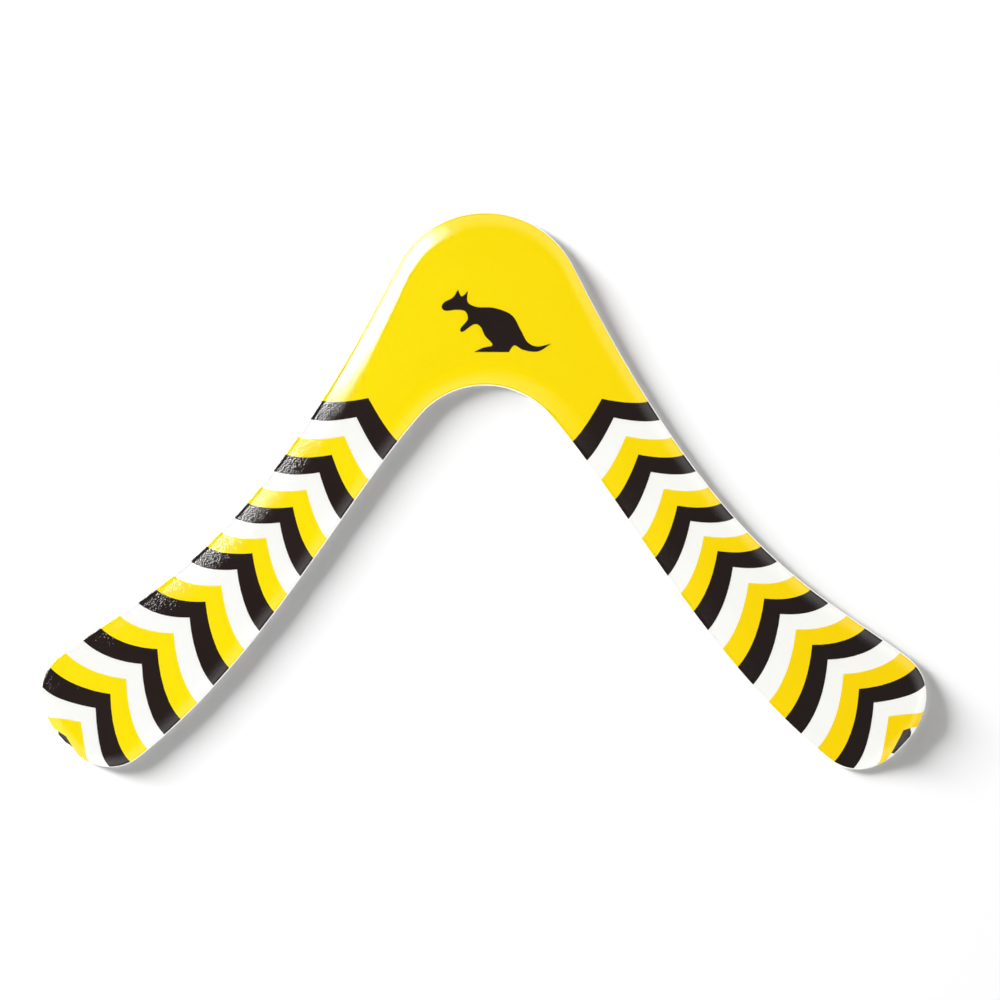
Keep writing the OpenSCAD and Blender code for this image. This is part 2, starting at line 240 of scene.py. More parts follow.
@dataclass
class Planform:
    """Outline and ridge of the right half, with the elbow's top at (0, 0); the left half mirrors it.

    Angles are degrees below +X. A pull is how far the two middle points of a curve lie from its ends, as
    shares of the straight distance between the ends.
    """

    tip_x: float = 170.3
    tip_y: float = 211.2
    elbow_depth: float = 69.5
    elbow_r_out: float = 39.5
    elbow_r_in: float = 34.5
    elbow_turn_out: float = 63.0
    elbow_turn_in: float = 49.0
    tip_chord: float = 51.5
    tip_length: float = 20.0
    tip_dir: float = 38.0
    tip_flare: float = 0.5
    ridge_in: float = 20.7
    ridge_turn: float = 58.0
    ridge_dir: float = 43.0
    pull_out: Tuple[float, float] = (0.65, 0.21)
    pull_in: Tuple[float, float] = (0.27, 0.36)
    pull_ridge: Tuple[float, float] = (0.27, 0.63)
    pull_tip: Tuple[float, float] = (0.35, 0.5)
    steps: int = 900
    loop: np.ndarray = field(init=False)
    ridge: np.ndarray = field(init=False)
    ridge_s: np.ndarray = field(init=False)
    turns: np.ndarray = field(init=False)
    stations: np.ndarray = field(init=False)
    outer: np.ndarray = field(init=False)
    inner: np.ndarray = field(init=False)

    def __post_init__(self) -> None:
        """Works out the outline, the ridge and the tables of half chords."""
        n = self.steps
        tip = np.array([self.tip_x, -self.tip_y])
        back = tip - self.tip_length * heading(self.tip_dir)
        outer = arc([0.0, -self.elbow_r_out], self.elbow_r_out, self.elbow_turn_out, n)
        crook = [0.0, -self.elbow_depth - self.elbow_r_in]
        inner = arc(crook, self.elbow_r_in, self.elbow_turn_in, n)
        self.loop = np.concatenate([
            self._edge(tip, back, 1, outer, self.elbow_turn_out, self.pull_out),
            self._edge(tip, back, -1, inner, self.elbow_turn_in, self.pull_in)[::-1][1:]])
        bend = arc(crook, self.elbow_r_in + self.ridge_in, self.ridge_turn, n)
        run = np.linalg.norm(tip - bend[-1])
        near, far = self.pull_ridge
        self.ridge = np.concatenate([bend, bezier(
            bend[-1], bend[-1] + near * run * heading(self.ridge_turn),
            tip - far * run * heading(self.ridge_dir), tip, 2 * n)[1:]])
        self.ridge_s = np.concatenate([[0.0], np.cumsum(np.hypot(*np.diff(self.ridge, axis=0).T))])
        slope = np.gradient(self.ridge, self.ridge_s, axis=0)
        self.turns = np.degrees(np.arctan2(-slope[:, 1], slope[:, 0]))
        self.turns[[0, -1]] = 0.0, self.ridge_dir
        self.stations = self.spread(n, n)
        self.outer, self.inner = self._reach(1), self._reach(-1)

    def _edge(self, tip: np.ndarray, back: np.ndarray, sign: int, bend: np.ndarray, turn: float,
              pull: Tuple[float, float]) -> np.ndarray:
        """One edge of the outline: an arc at the elbow, a long curve to the shoulder and one to the tip.

        Args:
            tip: The tip's foremost point.
            back: The middle of the tip's shoulders.
            sign: 1 for the outer edge and -1 for the inner one.
            bend: The arc at the elbow.
            turn: The heading in which the arc ends.
            pull: The long curve's pull at its two ends.

        Returns:
            The edge's points from the middle line to the tip.
        """
        n = self.steps
        shoulder = back + sign * self.tip_chord / 2 * left_of(self.tip_dir)
        lean = self.tip_dir - sign * self.tip_flare
        run, end = np.linalg.norm(shoulder - bend[-1]), np.linalg.norm(shoulder - tip)
        near, far = pull
        first, last = self.pull_tip
        return np.concatenate([
            bend,
            bezier(bend[-1], bend[-1] + near * run * heading(turn), shoulder - far * run * heading(lean),
                   shoulder, 2 * n)[1:],
            bezier(shoulder, shoulder + first * end * heading(lean),
                   tip + sign * last * end * left_of(self.tip_dir), tip, n)[1:]])

    def _reach(self, sign: int) -> np.ndarray:
        """Distance from the ridge at each station, square to it, to the outline on one side.

        The outline's points are measured along and across each station's heading; where two of them lie
        on different sides of the station's line, the crossing is read off between them. The stations are
        taken in batches, which keeps the arrays small.

        Args:
            sign: 1 for the outer side and -1 for the inner one.

        Returns:
            The distances, 0 at the tip.
        """
        found = np.zeros(len(self.stations))
        batches = 40
        for part in np.array_split(np.arange(len(self.stations) - 1), batches):
            s = self.stations[part]
            turn = np.interp(s, self.ridge_s, self.turns)
            away = self.loop[None] - self.ridge_at(s)[:, None]
            along = np.einsum("ijk,ik->ij", away, heading(turn))
            across = np.einsum("ijk,ik->ij", away, left_of(turn)) * sign
            crossed = (along[:, :-1] <= 0) != (along[:, 1:] <= 0)
            step = along[:, :-1] - along[:, 1:]
            t = along[:, :-1] / np.where(step == 0, 1.0, step)
            q = mix(across[:, :-1], across[:, 1:], t)
            found[part] = np.where(crossed & (q > 0), q, np.inf).min(axis=1)
        return found

    @property
    def arm_l(self) -> float:
        """Length of the ridge from the middle line to a tip."""
        return float(self.ridge_s[-1])

    @property
    def elbow_l(self) -> float:
        """Length of the ridge's arc on one side of the middle line."""
        return (self.elbow_r_in + self.ridge_in) * math.radians(self.ridge_turn)

    @property
    def middle_y(self) -> float:
        """Height of the outline's middle over the elbow's top, a negative number."""
        return float(self.loop[:, 1].min()) / 2

    def spread(self, along: int, tip: int, zone: float = 24.0) -> np.ndarray:
        """Stations from the middle line to the tip: even ones, then ones that close up as a sine does."""
        even = np.linspace(0.0, self.arm_l - zone, along, endpoint=False)
        return np.concatenate([even, self.arm_l - zone * (1 - np.sin(np.linspace(0, math.pi / 2, tip)))])

    def ridge_at(self, s: np.ndarray) -> np.ndarray:
        """The ridge's point at a distance along it."""
        return np.stack([np.interp(s, self.ridge_s, self.ridge[:, k]) for k in (0, 1)], axis=-1)

    def out_at(self, s: np.ndarray) -> np.ndarray:
        """Half chord from the ridge to the outer edge."""
        return np.interp(np.abs(s), self.stations, self.outer)

    def in_at(self, s: np.ndarray) -> np.ndarray:
        """Half chord from the ridge to the inner edge."""
        return np.interp(np.abs(s), self.stations, self.inner)

    def chord_at(self, s: np.ndarray) -> np.ndarray:
        """Whole chord at a station."""
        return self.out_at(s) + self.in_at(s)


@dataclass
class Columns:
    """Columns of points across the blade: round-over, taper or rounding, and crown, from each edge.

    The sizes are numbers of steps; index 0 of a half is its edge and the last index is the corner line.
    """

    bend: int = 6
    slope: int = 12
    crown: int = 4

    @property
    def half(self) -> int:
        """Steps from an edge to the corner line."""
        return self.bend + self.slope + self.crown

    def numbers(self) -> np.ndarray:
        """Signed column numbers, negative on the outer side and 0 on the corner line."""
        return np.arange(-self.half, self.half + 1)

    def shares(self, c: np.ndarray) -> Tuple[np.ndarray, np.ndarray, np.ndarray]:
        """How far each column is through the three zones: its steps from the edge, held to each zone.

        Args:
            c: Signed column numbers.

        Returns:
            Shares of the round-over, the slope and the crown, from 0 to 1.
        """
        i = self.half - np.abs(c)
        return (np.clip(i / self.bend, 0, 1), np.clip((i - self.bend) / self.slope, 0, 1),
                np.clip((i - self.bend - self.slope) / self.crown, 0, 1))


@dataclass
class Blade:
    """The wood's section: a long taper at each trailing edge and a blunt rounding at each leading edge.

    The taper is full from taper_full_l on and takes at most the share taper_most of a half chord. Over
    swap_l on each side of the middle line, the taper and the rounding change edges. An edge_q is the
    round-over's share of the height, and a bow is the power by which a slope flattens. The last three
    sizes are the most of a half chord that the slope, the round-over and the bare edge may take.
    """

    plan: Planform
    veneer_t: float = 1.12
    film_t: float = 0.10
    veneers: int = 5
    taper_w: float = 23.0
    taper_full_l: float = 150.0
    taper_most: float = 0.84
    taper_elbow_w: float = 8.5
    lead_w: float = 9.0
    tip_round_w: float = 7.0
    edge_r: float = 1.0
    swap_l: float = 30.0
    edge_q_trail: float = 0.16
    edge_q_lead: float = 0.30
    bow_trail: float = 1.25
    bow_lead: float = 2.0
    slope_most: float = 0.9
    round_most: float = 0.12
    gap_most: float = 0.06

    @property
    def wood_t(self) -> float:
        """Thickness of the finished plywood."""
        return self.veneers * self.veneer_t + (self.veneers - 1) * self.film_t

    def leading(self, s: np.ndarray) -> np.ndarray:
        """How far the outer edge is a leading edge: 0 on the left arm, 1 on the right arm."""
        return smooth((s + self.swap_l) / (2 * self.swap_l))

    def width_at(self, s: np.ndarray, lead: np.ndarray) -> np.ndarray:
        """Width of the taper or rounding beside an edge.

        The taper widens in a soft step from the elbow down the arm, and takes no more than a share of the
        shorter half chord.

        Args:
            s: Stations.
            lead: How far the edge is a leading one, from 0 to 1.

        Returns:
            The width at each station.
        """
        half = self.plan.elbow_l / 2
        taper = mix(self.taper_elbow_w, self.taper_w,
                    smooth((np.abs(s) - half) / (self.taper_full_l - half)))
        most = self.taper_most * np.minimum(self.plan.out_at(s), self.plan.in_at(s))
        return mix(np.minimum(taper, np.maximum(most, 2 * self.edge_r)), self.lead_w, lead)

    def rise(self, d: np.ndarray, w: np.ndarray, lead: np.ndarray) -> np.ndarray:
        """Share of the height at distance d from an edge.

        A quarter ellipse over the round-over gives the share q; the rest is one less a power of what is
        left of the width.

        Args:
            d: Distance from the edge.
            w: Width of the taper or rounding there.
            lead: How far the edge is a leading one, from 0 to 1.

        Returns:
            The share of the full height, from 0 to 1.
        """
        q = mix(self.edge_q_trail, self.edge_q_lead, lead)
        m = mix(self.bow_trail, self.bow_lead, lead)
        d = np.maximum(d, 0.0)
        bend = q * np.sqrt(np.clip(1 - (1 - d / self.edge_r) ** 2, 0, None))
        x = np.clip((d - self.edge_r) / (w - self.edge_r), 0, 1)
        return np.where(d < self.edge_r, bend, q + (1 - q) * (1 - (1 - x) ** m))

    def height(self, s: np.ndarray, d: np.ndarray) -> np.ndarray:
        """Height of the wood: the bottom veneer plus the product of the rises from both edges and the tip.

        Args:
            s: Stations.
            d: Distance from the outer edge.

        Returns:
            The height over z = 0.
        """
        a = self.leading(s)
        share = (self.rise(d, self.width_at(s, a), a)
                 * self.rise(self.plan.chord_at(s) - d, self.width_at(s, 1 - a), 1 - a)
                 * self.rise(self.plan.arm_l - np.abs(s), np.asarray(self.tip_round_w), np.asarray(1.0)))
        return self.veneer_t + (self.wood_t - self.veneer_t) * share

    def place(self, s: np.ndarray, d: np.ndarray) -> np.ndarray:
        """Point of the wood's face: out from the ridge along its left, with the left arm mirrored.

        Args:
            s: Stations.
            d: Distance from the outer edge.

        Returns:
            The points, with X, Y and Z last.
        """
        s, d = np.broadcast_arrays(s, d)
        t = np.abs(s)
        turn = np.interp(t, self.plan.ridge_s, self.plan.turns)
        p = self.plan.ridge_at(t) + (self.plan.out_at(s) - d)[..., None] * left_of(turn)
        return np.stack([np.sign(s) * p[..., 0], p[..., 1] - self.plan.middle_y, self.height(s, d)], -1)

    def lifted(self, s: np.ndarray, d: np.ndarray, h: float) -> np.ndarray:
        """Point h above the face: the place plus h times the cross product of its two slopes.

        Args:
            s: Stations.
            d: Distance from the outer edge.
            h: Height over the face, square to it.

        Returns:
            The points, with X, Y and Z last.
        """
        step = 0.08
        across = self.place(s, d + step) - self.place(s, d - step)
        along = self.place(s + step, d) - self.place(s - step, d)
        return self.place(s, d) + h * unit(np.cross(across, along))

    def edge_dist(self, s: np.ndarray, c: np.ndarray, columns: Columns, gap: np.ndarray,
                  slide: np.ndarray) -> np.ndarray:
        """Distance of a column from its edge.

        Quarter-circle steps go over the round-over, even ones over the slope and over the crown, and
        every zone shrinks with the half chord near the tips.

        Args:
            s: Stations.
            c: Signed column numbers.
            columns: The numbers of steps.
            gap: Bare edge outside the first column.
            slide: How far the corner line lies off the ridge.

        Returns:
            The distance from the outer edge where c is 0 or less, and from the inner edge elsewhere.
        """
        h = np.where(c <= 0, self.plan.out_at(s) - slide, self.plan.in_at(s) + slide)
        a = self.leading(s)
        w = np.minimum(self.width_at(s, np.where(c < 0, a, 1 - a)), self.slope_most * h)
        r = np.minimum(self.edge_r, self.round_most * h)
        bend, slope, crown = columns.shares(c)
        gap = np.minimum(gap, self.gap_most * h)
        first = np.arccos(np.clip(1 - gap / np.maximum(r, 1e-9), -1, 1))
        return r * (1 - np.cos(mix(first, math.pi / 2, bend))) + slope * (w - r) + crown * (h - w)

    def chord_d(self, s: np.ndarray, c: np.ndarray, columns: Columns, gap: np.ndarray,
                slide: np.ndarray) -> np.ndarray:
        """Distance of a column from the outer edge."""
        e = self.edge_dist(s, c, columns, gap, slide)
        return np.where(c <= 0, e, self.plan.chord_at(s) - e)


# ---- materials ----------------------------------------------------------------------------------------


def linear(code: str) -> Tuple[float, float, float, float]:
    """Turns an sRGB hex colour into linear light.

    Args:
        code: Six hex digits, with or without a hash sign.

    Returns:
        Red, green, blue and an alpha of 1.
    """
    parts = [int(code.lstrip("#")[i:i + 2], 16) / 255 for i in (0, 2, 4)]
    return tuple(c / 12.92 if c <= 0.04045 else ((c + 0.055) / 1.055) ** 2.4 for c in parts) + (1.0,)


def add_node(tree: bpy.types.NodeTree, kind: str, values: Optional[Dict] = None,
             feeds: Optional[Dict] = None, **settings: object) -> bpy.types.Node:
    """Adds one shader node with its settings and links.

    Args:
        tree: The node tree.
        kind: The node's type name.
        values: Socket name or number to constant.
        feeds: Socket name or number to the output that feeds it.
        settings: The node's own properties.

    Returns:
        The new node.
    """
    made = tree.nodes.new(kind)
    for key, value in settings.items():
        setattr(made, key, value)
    for key, value in (values or {}).items():
        made.inputs[key].default_value = value
    for key, source in (feeds or {}).items():
        tree.links.new(source, made.inputs[key])
    return made


def new_material(name: str) -> Tuple[bpy.types.Material, bpy.types.NodeTree, bpy.types.NodeSocket]:
    """Makes an empty node material.

    Args:
        name: The material's name.

    Returns:
        The material, its tree and the Object coordinates that its patterns read.
    """
    material = bpy.data.materials.new(name)
    material.use_nodes = True
    tree = material.node_tree
    tree.nodes.clear()
    return material, tree, add_node(tree, "ShaderNodeTexCoord").outputs["Object"]


def per_metre(size_mm: float) -> float:
    """Texture scale that makes a pattern's cell this many millimetres wide."""
    return 1.0 / (size_mm * MM)


@dataclass(frozen=True)
class LacqueredPaint:
    """Alkyd gloss paint or screen ink, sprayed over with clear lacquer.

    The eye gets an even, saturated colour under a hard wet gloss. The colour drifts slowly in patches,
    and darkens from the left arm to the right one: painted shade for light that falls off towards the
    right. The lacquer dried with orange peel, a grain of about 0.6 mm that breaks the edge of every
    highlight into specks.
    """

    name: str
    colour: str
    shade: str
    # Painted shade: the colour that the right arm darkens to, for light that falls off there.
    painted_right_shade: str
    dust: str
    roughness: float
    patch_mm: float = 38.0
    # Span of X over which the painted shade darkens the colour, in mm.
    painted_shade_from_mm: float = -60.0
    painted_shade_to_mm: float = 140.0
    scuff_mm: float = 2.4
    scuff_top_mm: float = 1.3
    scuff_full_mm: float = 0.2
    peel_mm: float = 0.60
    peel_depth_mm: float = 0.13
    wave_mm: float = 9.0
    wave_depth_mm: float = 0.03

    def build(self) -> bpy.types.Material:
        """Makes the material.

        Returns:
            A node material with mottled colour, a dusty rim, orange peel and a slow unevenness.
        """
        material, tree, place = new_material(self.name)
        mottle = add_node(tree, "ShaderNodeTexNoise", {"Scale": per_metre(self.patch_mm), "Detail": 4.0,
                                                       "Roughness": 0.55}, {"Vector": place})
        spread = add_node(tree, "ShaderNodeMapRange", {"From Min": 0.3, "From Max": 0.75},
                          {"Value": mottle.outputs["Fac"]})
        body = add_node(tree, "ShaderNodeMix", {6: linear(self.colour), 7: linear(self.shade)},
                        {0: spread.outputs[0]}, data_type="RGBA")
        where = add_node(tree, "ShaderNodeSeparateXYZ", feeds={0: place})
        # Painted shade: the colour darkens along X towards the right arm, standing in for light that falls
        # off there.
        painted_right_shade = add_node(tree, "ShaderNodeMapRange", {"From Min": self.painted_shade_from_mm * MM,
                                                      "From Max": self.painted_shade_to_mm * MM},
                         {"Value": where.outputs["X"]})
        with_painted_shade = add_node(tree, "ShaderNodeMix", {7: linear(self.painted_right_shade)},
                        {0: painted_right_shade.outputs[0], 6: body.outputs[2]}, data_type="RGBA")
        # Handling dulls the lowest millimetre of the rim in patches.
        low = add_node(tree, "ShaderNodeMapRange", {"From Min": self.scuff_top_mm * MM,
                                                    "From Max": self.scuff_full_mm * MM,
                                                    "To Max": 0.75}, {"Value": where.outputs["Z"]})
        scuff = add_node(tree, "ShaderNodeTexNoise", {"Scale": per_metre(self.scuff_mm), "Detail": 5.0},
                         {"Vector": place})
        patch = add_node(tree, "ShaderNodeMapRange", {"From Min": 0.42, "From Max": 0.68},
                         {"Value": scuff.outputs["Fac"]})
        wear = add_node(tree, "ShaderNodeMath", feeds={0: low.outputs[0], 1: patch.outputs[0]},
                        operation="MULTIPLY")
        worn = add_node(tree, "ShaderNodeMix", {7: linear(self.dust)},
                        {0: wear.outputs[0], 6: with_painted_shade.outputs[2]}, data_type="RGBA")
        dull = add_node(tree, "ShaderNodeMapRange", {"From Min": 0.35, "From Max": 0.7,
                                                     "To Min": self.roughness - 0.05,
                                                     "To Max": self.roughness + 0.07},
                        {"Value": scuff.outputs["Fac"]})
        peel = add_node(tree, "ShaderNodeTexNoise", {"Scale": per_metre(self.peel_mm), "Detail": 1.0,
                                                     "Roughness": 0.4}, {"Vector": place})
        wave = add_node(tree, "ShaderNodeTexNoise", {"Scale": per_metre(self.wave_mm), "Detail": 2.0},
                        {"Vector": place})
        slow = add_node(tree, "ShaderNodeBump", {"Strength": 1.0, "Distance": self.wave_depth_mm * MM},
                        {"Height": wave.outputs["Fac"]})
        fine = add_node(tree, "ShaderNodeBump", {"Strength": 1.0, "Distance": self.peel_depth_mm * MM},
                        {"Height": peel.outputs["Fac"], "Normal": slow.outputs[0]})
        shader = add_node(tree, "ShaderNodeBsdfPrincipled",
                          {"IOR": 1.5, "Coat Weight": 1.0, "Coat Roughness": 0.045, "Coat IOR": 1.5,
                           "Specular IOR Level": 0.0},
                          {"Base Color": worn.outputs[2], "Roughness": dull.outputs[0],
                           "Normal": slow.outputs[0], "Coat Normal": fine.outputs[0]})
        add_node(tree, "ShaderNodeOutputMaterial", feeds={0: shader.outputs[0]})
        return material


@dataclass(frozen=True)
class BirchVeneer:
    """Rotary-cut birch veneer, sanded and sealed with a thin satin lacquer.

    It is pale and creamy, with soft flowing figure a few millimetres wide, fine pores half a millimetre
    long and small brown flecks, all drawn out along the grain.
    """

    name: str
    along_y: bool
    early: str = "#E9CFA2"
    late: str = "#D3AE7B"
    fleck: str = "#8E6238"
    bend_mm: float = 70.0
    sway_mm: float = 30.0
    streak_share: float = 0.45
    late_share: float = 0.62
    mark_share: float = 0.34
    pore_depth_mm: float = 0.03

    def build(self) -> bpy.types.Material:
        """Makes the material, with its grain along X or along Y.

        Returns:
            A node material with figure, streaks, pores and flecks.
        """
        material, tree, place = new_material(self.name)
        turn = (0.0, 0.0, math.pi / 2) if self.along_y else (0.0, 0.0, 0.0)
        grain = add_node(tree, "ShaderNodeMapping", {"Rotation": turn}, {"Vector": place}).outputs[0]
        bend = add_node(tree, "ShaderNodeTexNoise", {"Scale": per_metre(self.bend_mm), "Detail": 2.0},
                        {"Vector": grain})
        sway = add_node(tree, "ShaderNodeVectorMath", {"Scale": self.sway_mm * MM},
                        {0: bend.outputs["Color"]}, operation="SCALE")
        flow = add_node(tree, "ShaderNodeVectorMath", feeds={0: grain, 1: sway.outputs[0]},
                        operation="ADD").outputs[0]
        # Each layer is a noise drawn out along the grain: cell sizes in mm, detail, and the range it keeps.
        layers = []
        for across, along, detail, low, high in ((7, 160, 5, 0.33, 0.7), (0.7, 42, 3, 0.35, 0.75),
                                                 (0.22, 2.4, 1, 0.6, 0.72), (1.3, 14, 2, 0.7, 0.78)):
            drawn = add_node(tree, "ShaderNodeMapping",
                             {"Scale": (per_metre(along), per_metre(across), per_metre(across))},
                             {"Vector": flow})
            noise = add_node(tree, "ShaderNodeTexNoise", {"Scale": 1.0, "Detail": float(detail)},
                             {"Vector": drawn.outputs[0]})
            layers.append(add_node(tree, "ShaderNodeMapRange", {"From Min": low, "From Max": high},
                                   {"Value": noise.outputs["Fac"]}).outputs[0])
        figure, streak, pore, fleck = layers
        blend = add_node(tree, "ShaderNodeMath", {1: self.streak_share}, {0: streak, 2: figure},
                         operation="MULTIPLY_ADD")
        share = add_node(tree, "ShaderNodeMath", {1: self.late_share}, {0: blend.outputs[0]},
                         operation="MULTIPLY")
        wood = add_node(tree, "ShaderNodeMix", {6: linear(self.early), 7: linear(self.late)},
                        {0: share.outputs[0]}, data_type="RGBA")
        marks = add_node(tree, "ShaderNodeMath", feeds={0: pore, 1: fleck}, operation="MAXIMUM")
        faint = add_node(tree, "ShaderNodeMath", {1: self.mark_share}, {0: marks.outputs[0]},
                         operation="MULTIPLY")
        flecked = add_node(tree, "ShaderNodeMix", {7: linear(self.fleck)},
                           {0: faint.outputs[0], 6: wood.outputs[2]}, data_type="RGBA")
        sheen = add_node(tree, "ShaderNodeMapRange", {"To Min": 0.42, "To Max": 0.58}, {"Value": streak})
        dent = add_node(tree, "ShaderNodeBump", {"Strength": 1.0, "Distance": self.pore_depth_mm * MM},
                        {"Height": marks.outputs[0]}, invert=True)
        shader = add_node(tree, "ShaderNodeBsdfPrincipled",
                          {"IOR": 1.5, "Coat Weight": 0.35, "Coat Roughness": 0.22, "Coat IOR": 1.5},
                          {"Base Color": flecked.outputs[2], "Roughness": sheen.outputs[0],
                           "Normal": dent.outputs[0]})
        add_node(tree, "ShaderNodeOutputMaterial", feeds={0: shader.outputs[0]})
        return material


@dataclass(frozen=True)
class PhenolicFilm:
    """Phenolic resin film, pressed and cured between veneers: dark red-brown, glassy and slightly cloudy."""

    name: str
    dark: str = "#33170D"
    warm: str = "#5A2E18"
    cloud_mm: float = 3.5
    relief_mm: float = 0.02

    def build(self) -> bpy.types.Material:
        """Makes the material.

        Returns:
            A node material of two browns mixed by a cloudy noise, with a little print of the grain.
        """
        material, tree, place = new_material(self.name)
        cloud = add_node(tree, "ShaderNodeTexNoise", {"Scale": per_metre(self.cloud_mm), "Detail": 5.0},
                         {"Vector": place})
        tone = add_node(tree, "ShaderNodeMix", {6: linear(self.dark), 7: linear(self.warm)},
                        {0: cloud.outputs["Fac"]}, data_type="RGBA")
        dull = add_node(tree, "ShaderNodeMapRange", {"To Min": 0.28, "To Max": 0.5},
                        {"Value": cloud.outputs["Fac"]})
        relief = add_node(tree, "ShaderNodeBump", {"Strength": 0.6, "Distance": self.relief_mm * MM},
                          {"Height": cloud.outputs["Fac"]})
        shader = add_node(tree, "ShaderNodeBsdfPrincipled", {"IOR": 1.6},
                          {"Base Color": tone.outputs[2], "Roughness": dull.outputs[0],
                           "Normal": relief.outputs[0]})
        add_node(tree, "ShaderNodeOutputMaterial", feeds={0: shader.outputs[0]})
        return material


# ---- sub-assemblies -----------------------------------------------------------------------------------


@dataclass
class Core:
    """The plywood: a bottom veneer that shows, and four veneers and four glue films under the paint."""

    blade: Blade
    stations: np.ndarray
    face: BirchVeneer = BirchVeneer("birch_face_veneer", along_y=False)
    cross: BirchVeneer = BirchVeneer("birch_cross_veneer", along_y=True)
    film: PhenolicFilm = PhenolicFilm("phenolic_glue_film")

    def build(self) -> None:
        """Makes the bottom veneer: the outline carried straight up from z = 0, with flat caps.

        Each cap is a strip between the outer and the inner edge, and the wall joins the two outlines.
        """
        s = self.stations
        outer = self.blade.place(s, np.zeros_like(s))
        inner = self.blade.place(s, self.blade.plan.chord_at(s))
        rows = len(s)
        levels = [np.stack([outer, inner], axis=1).reshape(-1, 3) for _ in range(2)]
        levels[0][:, 2], levels[1][:, 2] = 0.0, self.blade.veneer_t
        loop = np.concatenate([np.arange(rows) * 2 + 1, np.arange(rows)[::-1] * 2])
        faces = np.concatenate([
            grid_faces(rows, 2)[:, ::-1], grid_faces(rows, 2, 2 * rows), strip_faces(loop + 2 * rows, loop)])
        make_piece("bottom_veneer", *weld(np.concatenate(levels), faces), self.face.build(),
                   Slot.BIRCH, ["ply_1"])

    def dress(self) -> None:
        """Gives the hidden veneers and films their wood and resin."""
        face, cross, film = bpy.data.materials[self.face.name], self.cross.build(), self.film.build()
        for i in range(2, self.blade.veneers + 1):
            self._assign(f"ply_{i}", cross if i % 2 == 0 else face)
        for i in range(1, self.blade.veneers):
            self._assign(f"glue_film_{i}", film)

    @staticmethod
    def _assign(name: str, material: bpy.types.Material) -> None:
        """Puts a material on a CAD node's slots.

        Args:
            name: The node's name.
            material: The material.
        """
        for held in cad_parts[name].material_slots:
            held.material = material
        log.info("%s: dressed in %s", name, material.name)


@dataclass
class BaseCoat:
    """The white base coat: one closed skin over the face and the edges."""

    blade: Blade
    stations: np.ndarray
    columns: Columns
    coat_t: float = 0.15
    low: float = 0.15
    # Its third colour is painted shade towards the right arm.
    finish: LacqueredPaint = LacqueredPaint(
        "white_gloss_alkyd_under_lacquer", "#FBFBF8", "#F9F9F5", "#F9F9F4", "#B9B2A4", 0.33)

    def build(self) -> None:
        """Makes the skin.

        The wood's face over a grid of stations and columns, with two levels of the upright edge below
        it, is welded at the tips. A second copy stands off by the coat's thickness along the point
        normals, level ones along the lower edge, and a strip joins the two there. An edge of the skin
        that only one triangle has is part of that border.
        """
        s = self.stations[:, None]
        c = self.columns.numbers()
        zero = np.zeros(1)
        face = self.blade.place(s, self.blade.chord_d(s, c, self.columns, zero, zero))
        rim = np.linspace(self.low, self.blade.veneer_t, 3)[:-1]
        left, right = (np.repeat(face[:, [k]], 2, axis=1) for k in (0, -1))
        left[..., 2], right[..., 2] = rim, rim[::-1]
        grid = np.concatenate([left, face, right], axis=1)
        rows, cols = grid.shape[:2]
        points, faces = grid.reshape(-1, 3), grid_faces(rows, cols)
        wood, skin = weld(points, faces)
        lift = point_normals(wood, skin)
        lift[wood[:, 2] < self.low + 1e-3, 2] = 0.0
        lift = unit(lift)
        n = len(wood)
        ways = np.concatenate([skin[:, [0, 1]], skin[:, [1, 2]], skin[:, [2, 0]]])
        _, back, count = np.unique(np.sort(ways, axis=1), axis=0, return_inverse=True, return_counts=True)
        a, b = ways[count[back.reshape(-1)] == 1].T
        strip = np.concatenate([np.stack([a, b, b + n], 1)[:, ::-1], np.stack([a, b + n, a + n], 1)[:, ::-1]])
        make_piece("base_coat_skin", np.concatenate([wood, wood + self.coat_t * lift]),
                   np.concatenate([skin[:, ::-1], skin + n, strip]), self.finish.build(), Slot.WHITE,
                   ["base_coat"], crease=50.0)


